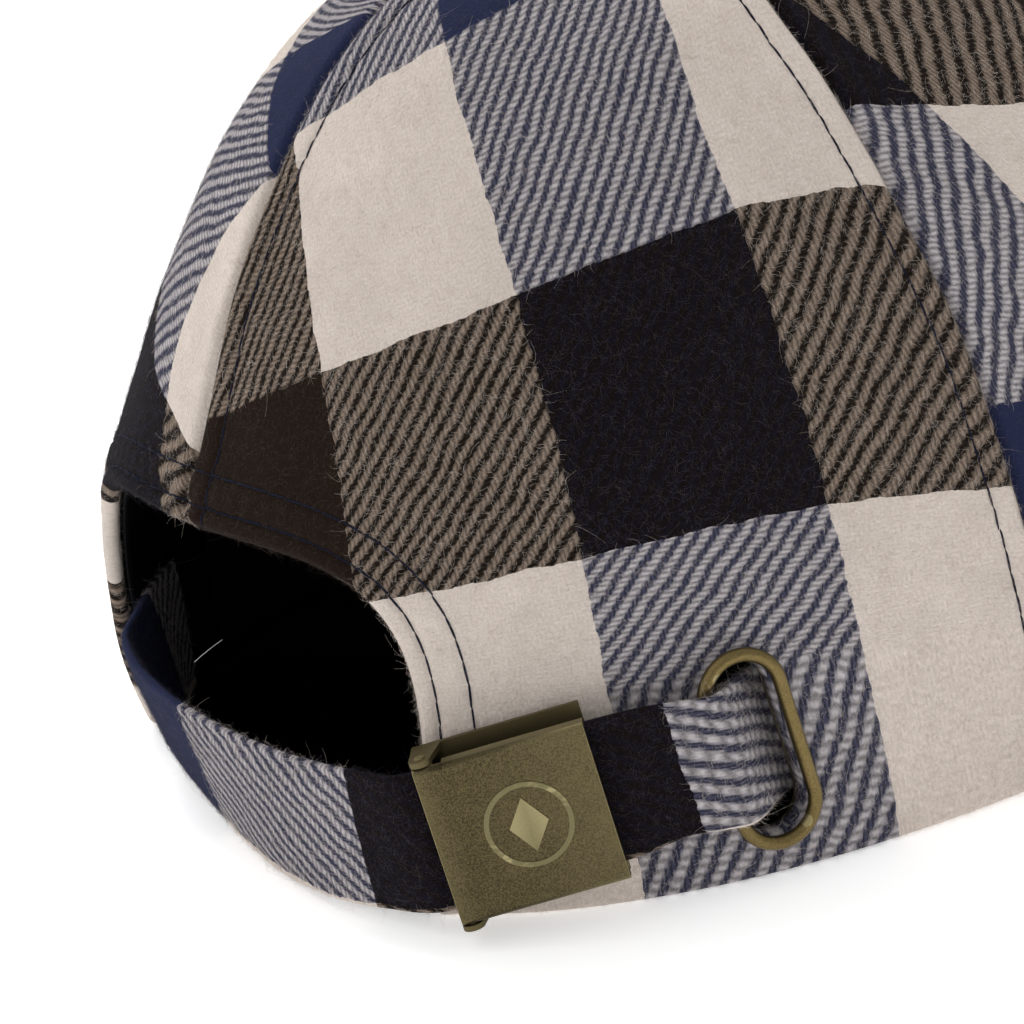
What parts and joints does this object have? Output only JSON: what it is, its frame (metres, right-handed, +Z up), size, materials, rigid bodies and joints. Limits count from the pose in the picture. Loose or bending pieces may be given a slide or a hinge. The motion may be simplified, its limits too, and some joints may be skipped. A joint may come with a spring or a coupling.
{
  "type": "six-panel cap",
  "caption": "Soft plaid wool cap with a curved visor, a covered top button, an arched rear opening, and a rear strap held by a flip buckle and a slot ring.",
  "frame": {"origin": "centre of the head opening, in the plane that the sides and the back edge rest on", "axes": "+Z up, -Y forwards along the visor, +Y to the arched rear opening, -X to the wearer's right"},
  "size_m": [0.1596, 0.2703, 0.1112],
  "materials": {
    "plaid_wool": "brushed wool twill woven in a large navy, cream and dark brown check",
    "seam_tape_cotton": "black cotton twill tape",
    "sweatband_twill": "black cotton twill band",
    "visor_board_plastic": "plain moulded sheet",
    "button_steel": "plain pressed steel",
    "antique_brass": "antique brushed brass, speckled dark"
  },
  "bodies": {
    "cap": {"crown_panel_back_right": "plaid_wool", "crown_panel_back_left": "plaid_wool", "crown_panel_side_right": "plaid_wool", "crown_panel_side_left": "plaid_wool", "crown_panel_front_right": "plaid_wool", "crown_panel_front_left": "plaid_wool", "strap": "plaid_wool", "visor_upper": "plaid_wool", "visor_under": "plaid_wool", "button_cover": "plaid_wool", "buckle_tab": "plaid_wool", "seam_tape_back": "seam_tape_cotton", "seam_tape_right_back": "seam_tape_cotton", "seam_tape_right_front": "seam_tape_cotton", "seam_tape_front": "seam_tape_cotton", "seam_tape_left_front": "seam_tape_cotton", "seam_tape_left_back": "seam_tape_cotton", "arch_facing": "plaid_wool", "sweatband": "sweatband_twill", "visor_board": "visor_board_plastic", "button_cap": "button_steel", "button_prong": "button_steel", "buckle_frame": "antique_brass", "buckle_pin": "antique_brass", "slot_ring": "antique_brass", "slot_ring_washer": "antique_brass"},
    "flip_cover": {"buckle_cover": "antique_brass"}
  },
  "joints": [
    {"name": "buckle_flip", "type": "hinge", "parent": "cap", "child": "flip_cover", "pos_m": [-0.04327, 0.09397, 0.01294], "axis": [-0.2059, -0.1141, -0.9719], "range_deg": [0, 105]}
  ]
}
